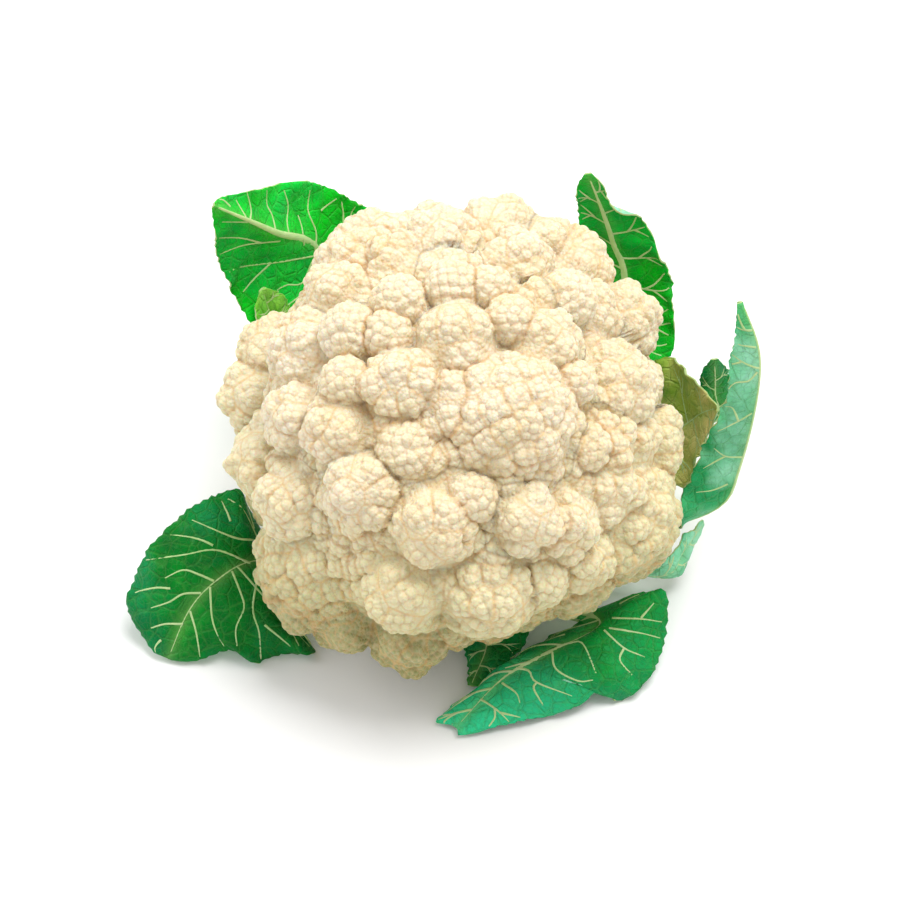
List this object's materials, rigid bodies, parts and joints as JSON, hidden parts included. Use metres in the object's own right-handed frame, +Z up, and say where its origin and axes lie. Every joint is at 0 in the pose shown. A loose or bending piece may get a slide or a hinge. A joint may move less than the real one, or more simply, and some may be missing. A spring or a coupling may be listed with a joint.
{
  "type": "cauliflower",
  "caption": "Whole cauliflower head resting on its cut stalk: a domed curd of rounded florets with green leaves around it, some lying flat and some standing up its sides.",
  "frame": {"origin": "centre of the stalk's cut face, on the surface that the head rests on", "axes": "+Z up, out of the surface; -Y towards the front, where the head leans and the picture was taken from; +X to the right as seen from there"},
  "size_m": [0.2236, 0.19, 0.1389],
  "materials": {
    "curd_flesh": "cream-white vegetable flesh, grainy and matt, warm brown in the creases",
    "stalk_flesh": "pale green stalk skin, satin, with a paler cut face",
    "leaf_blade": "deep green leaf with a thin wax bloom, pale veins and a pale bluish underside",
    "young_leaf_blade": "yellow-green inner leaf, thin and satin"
  },
  "bodies": {
    "root": {"curd": "curd_flesh", "stalk": "stalk_flesh", "leaf_front_left": "leaf_blade", "leaf_front_right": "leaf_blade", "leaf_front_dark": "leaf_blade", "leaf_back_left": "leaf_blade", "leaf_back_left_small": "young_leaf_blade", "leaf_back_right": "leaf_blade", "leaf_right_inner": "young_leaf_blade", "leaf_right_dark": "leaf_blade", "leaf_right_upright": "leaf_blade", "leaf_right_low": "leaf_blade"}
  },
  "joints": []
}
